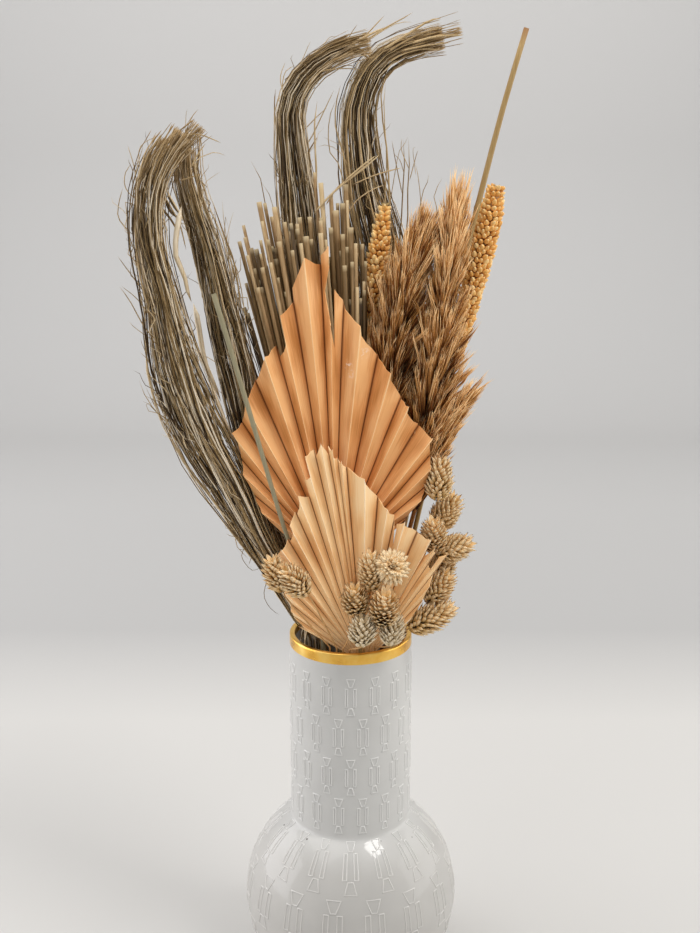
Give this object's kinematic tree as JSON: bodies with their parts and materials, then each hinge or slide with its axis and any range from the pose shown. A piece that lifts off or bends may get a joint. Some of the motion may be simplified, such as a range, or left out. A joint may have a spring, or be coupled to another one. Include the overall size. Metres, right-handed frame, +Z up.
{
  "type": "vase of dried flowers",
  "caption": "Round-bodied white vase with a straight neck, filled with dried pleated palm leaves, grasses, reeds, plumes and seed heads.",
  "frame": {"origin": "centre of the vase's flat foot, on the surface that it stands on", "axes": "+Z up along the vase's axis, -Y to the front, towards the viewer of the palm leaves"},
  "size_m": [0.2291, 0.1398, 0.6182],
  "materials": {
    "porcelain": "gloss",
    "palm_deep": "matte",
    "palm_pale": "matte",
    "grass": "matte",
    "straw": "matte",
    "plume": "matte",
    "millet": "matte",
    "canary": "matte"
  },
  "bodies": {
    "root": {"canary_grass_01": "canary", "canary_grass_02": "canary", "canary_grass_03": "canary", "canary_grass_04": "canary", "canary_grass_05": "canary", "canary_grass_06": "canary", "canary_grass_07": "canary", "canary_grass_08": "canary", "canary_grass_09": "canary", "canary_grass_10": "canary", "canary_grass_11": "canary", "canary_grass_12": "canary", "canary_grass_13": "canary", "canary_grass_14": "canary", "canary_grass_15": "canary", "cut_reeds": "straw", "front_straw": "straw", "grass_left_inner": "grass", "grass_left_outer": "grass", "grass_top_left": "grass", "grass_top_right": "grass", "long_reed": "straw", "millet_spike_left": "millet", "millet_spike_right": "millet", "palm_leaf_large": "palm_deep", "palm_leaf_small": "palm_pale", "reed_plume_left": "plume", "reed_plume_right": "plume", "vase": "porcelain"}
  },
  "joints": []
}
